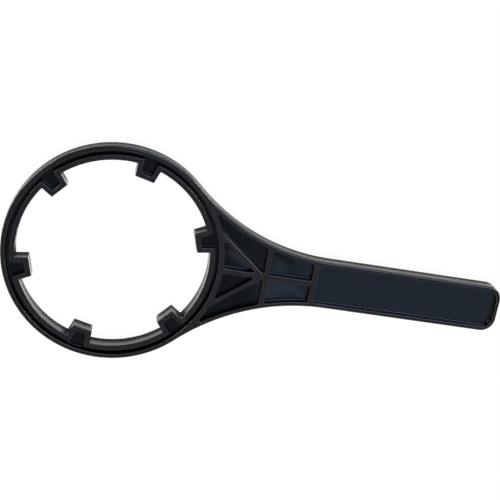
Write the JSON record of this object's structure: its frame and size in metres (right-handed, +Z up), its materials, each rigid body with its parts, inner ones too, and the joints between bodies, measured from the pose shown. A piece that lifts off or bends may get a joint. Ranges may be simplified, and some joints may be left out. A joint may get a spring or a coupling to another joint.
{
  "type": "filter housing wrench",
  "caption": "Flat moulded plastic wrench: a grooved ring with inward lugs, a ribbed neck and a long hollowed handle, for turning a round filter housing.",
  "frame": {"origin": "axis of the ring, on the plane that the back face lies on", "axes": "+X along the handle, +Z up along the ring's axis, out of the front face"},
  "size_m": [0.3144, 0.135, 0.012],
  "materials": {
    "body_plastic": "black moulded plastic, semi-gloss"
  },
  "bodies": {
    "root": {"wrench": "body_plastic"}
  },
  "joints": []
}
